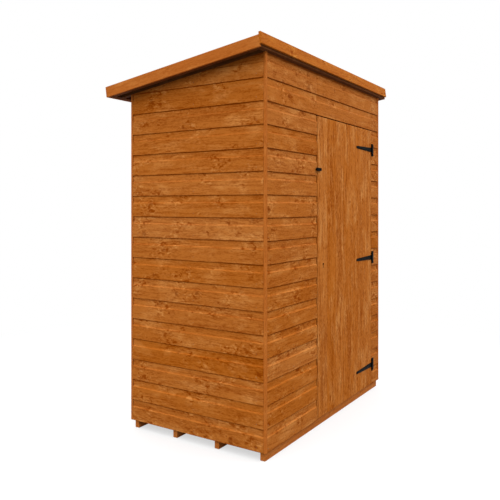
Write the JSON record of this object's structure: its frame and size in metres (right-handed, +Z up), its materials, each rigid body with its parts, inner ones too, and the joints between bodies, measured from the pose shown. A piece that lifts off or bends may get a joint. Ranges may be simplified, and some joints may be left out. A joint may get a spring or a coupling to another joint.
{
  "type": "tool shed",
  "caption": "Small wooden tool shed with shiplap walls, a single-slope felted roof with fascias, a boarded floor on bearers and a ledged and braced door on T hinges.",
  "frame": {"origin": "on the ground under the centre of the whole shed's outline, roof edges included", "axes": "+Z up; the front, with the door, faces -Y; +X to the right seen from the front"},
  "size_m": [1.692, 1.05, 2.1014],
  "materials": {
    "cladding_wood": "stained softwood, satin, with grain and knots",
    "trim_wood": "stained softwood battens and boards, satin",
    "front_fascia_wood": "stained softwood, satin",
    "door_wood": "stained tongue and groove softwood, satin",
    "frame_wood": "sawn softwood, matt",
    "floor_wood": "sawn softwood, matt",
    "mineral_felt": "mineral-surfaced roofing felt, matt and grainy",
    "black_metal": "black powder coat, semi-gloss",
    "lock_metal": "dark lacquered steel, semi-gloss"
  },
  "bodies": {
    "shed": {"left_cladding": "cladding_wood", "right_cladding": "cladding_wood", "back_cladding": "cladding_wood", "front_cladding_left": "cladding_wood", "front_cladding_right": "cladding_wood", "front_cladding_over_door": "cladding_wood", "corner_strip_front_left": "trim_wood", "corner_strip_front_right": "trim_wood", "corner_strip_back_left": "trim_wood", "corner_strip_back_right": "trim_wood", "left_fascia": "trim_wood", "right_fascia": "trim_wood", "back_fascia": "trim_wood", "door_stops": "trim_wood", "front_fascia": "front_fascia_wood", "front_wall_studs": "frame_wood", "front_wall_rails": "frame_wood", "back_wall_studs": "frame_wood", "back_wall_rails": "frame_wood", "left_wall_studs": "frame_wood", "left_wall_rails": "frame_wood", "right_wall_studs": "frame_wood", "right_wall_rails": "frame_wood", "roof_front_rail": "frame_wood", "roof_back_rail": "frame_wood", "roof_rafters": "frame_wood", "roof_noggings": "frame_wood", "roof_boards": "frame_wood", "floor_bearers": "floor_wood", "floor_boards": "floor_wood", "roof_felt": "mineral_felt", "hinge_plate_bottom": "black_metal", "hinge_plate_middle": "black_metal", "hinge_plate_top": "black_metal", "lock_strike_plate": "lock_metal"},
    "door": {"door_boards": "door_wood", "door_ledges": "door_wood", "door_braces": "door_wood", "hinge_strap_bottom": "black_metal", "hinge_strap_middle": "black_metal", "hinge_strap_top": "black_metal", "rim_lock": "lock_metal", "turn_button_screw": "black_metal"},
    "turn_button": {"turn_button": "black_metal"}
  },
  "joints": [
    {"name": "door_hinge", "type": "hinge", "parent": "shed", "child": "door", "pos_m": [0.62825, -0.50212, 0.914], "axis": [0, 0, 1], "range_deg": [0, 170]},
    {"name": "turn_button_pivot", "type": "hinge", "parent": "door", "child": "turn_button", "pos_m": [-0.175, -0.50262, 1.473], "axis": [0, 1, 0], "range_deg": [0, 90]}
  ]
}
